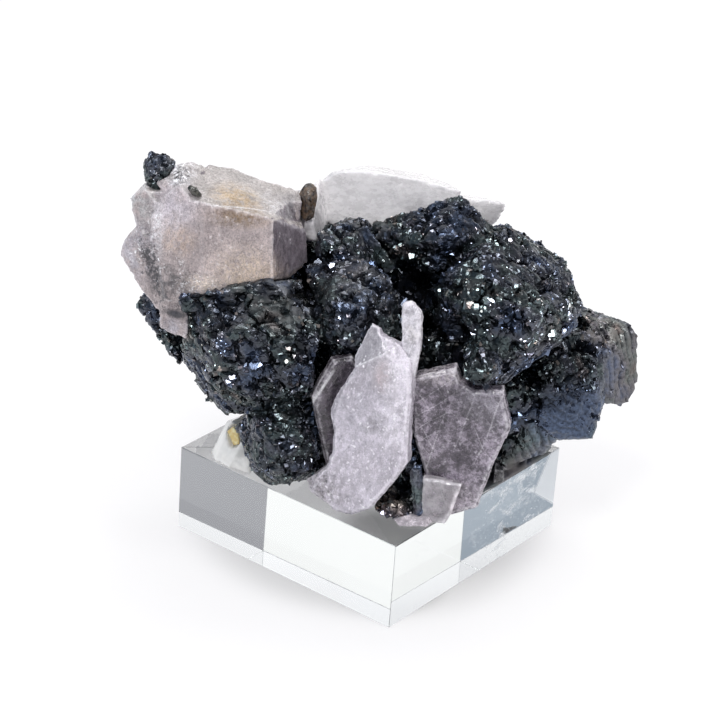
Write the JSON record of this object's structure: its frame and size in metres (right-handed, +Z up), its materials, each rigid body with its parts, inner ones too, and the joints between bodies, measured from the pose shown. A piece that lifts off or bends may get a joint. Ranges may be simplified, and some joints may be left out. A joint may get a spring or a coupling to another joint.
{
  "type": "tennantite specimen",
  "caption": "Dark intergrown tennantite crystals with pale quartz blades, fixed on a small clear square block that stands on its flat underside.",
  "frame": {"origin": "centre of the block's underside", "axes": "+X along the specimen's length, +Y to its back, +Z up from the block's underside"},
  "size_m": [0.0726, 0.0534, 0.0552],
  "materials": {
    "tennantite": "gloss",
    "quartz": "satin",
    "stained_quartz": "satin",
    "brown_mineral": "gloss",
    "ochre": "matte",
    "clear_gel": "gloss",
    "clear_block": "polished"
  },
  "bodies": {
    "root": {"tennantite_cluster": "tennantite", "tennantite_corner_crystal": "tennantite", "left_quartz": "stained_quartz", "back_quartz": "quartz", "front_quartz": "quartz", "right_quartz_plate": "quartz", "foot_quartz": "quartz", "brown_crystal": "brown_mineral", "dark_inclusion": "tennantite", "ochre_grain": "ochre", "mounting_gel": "clear_gel", "display_block": "clear_block"}
  },
  "joints": []
}
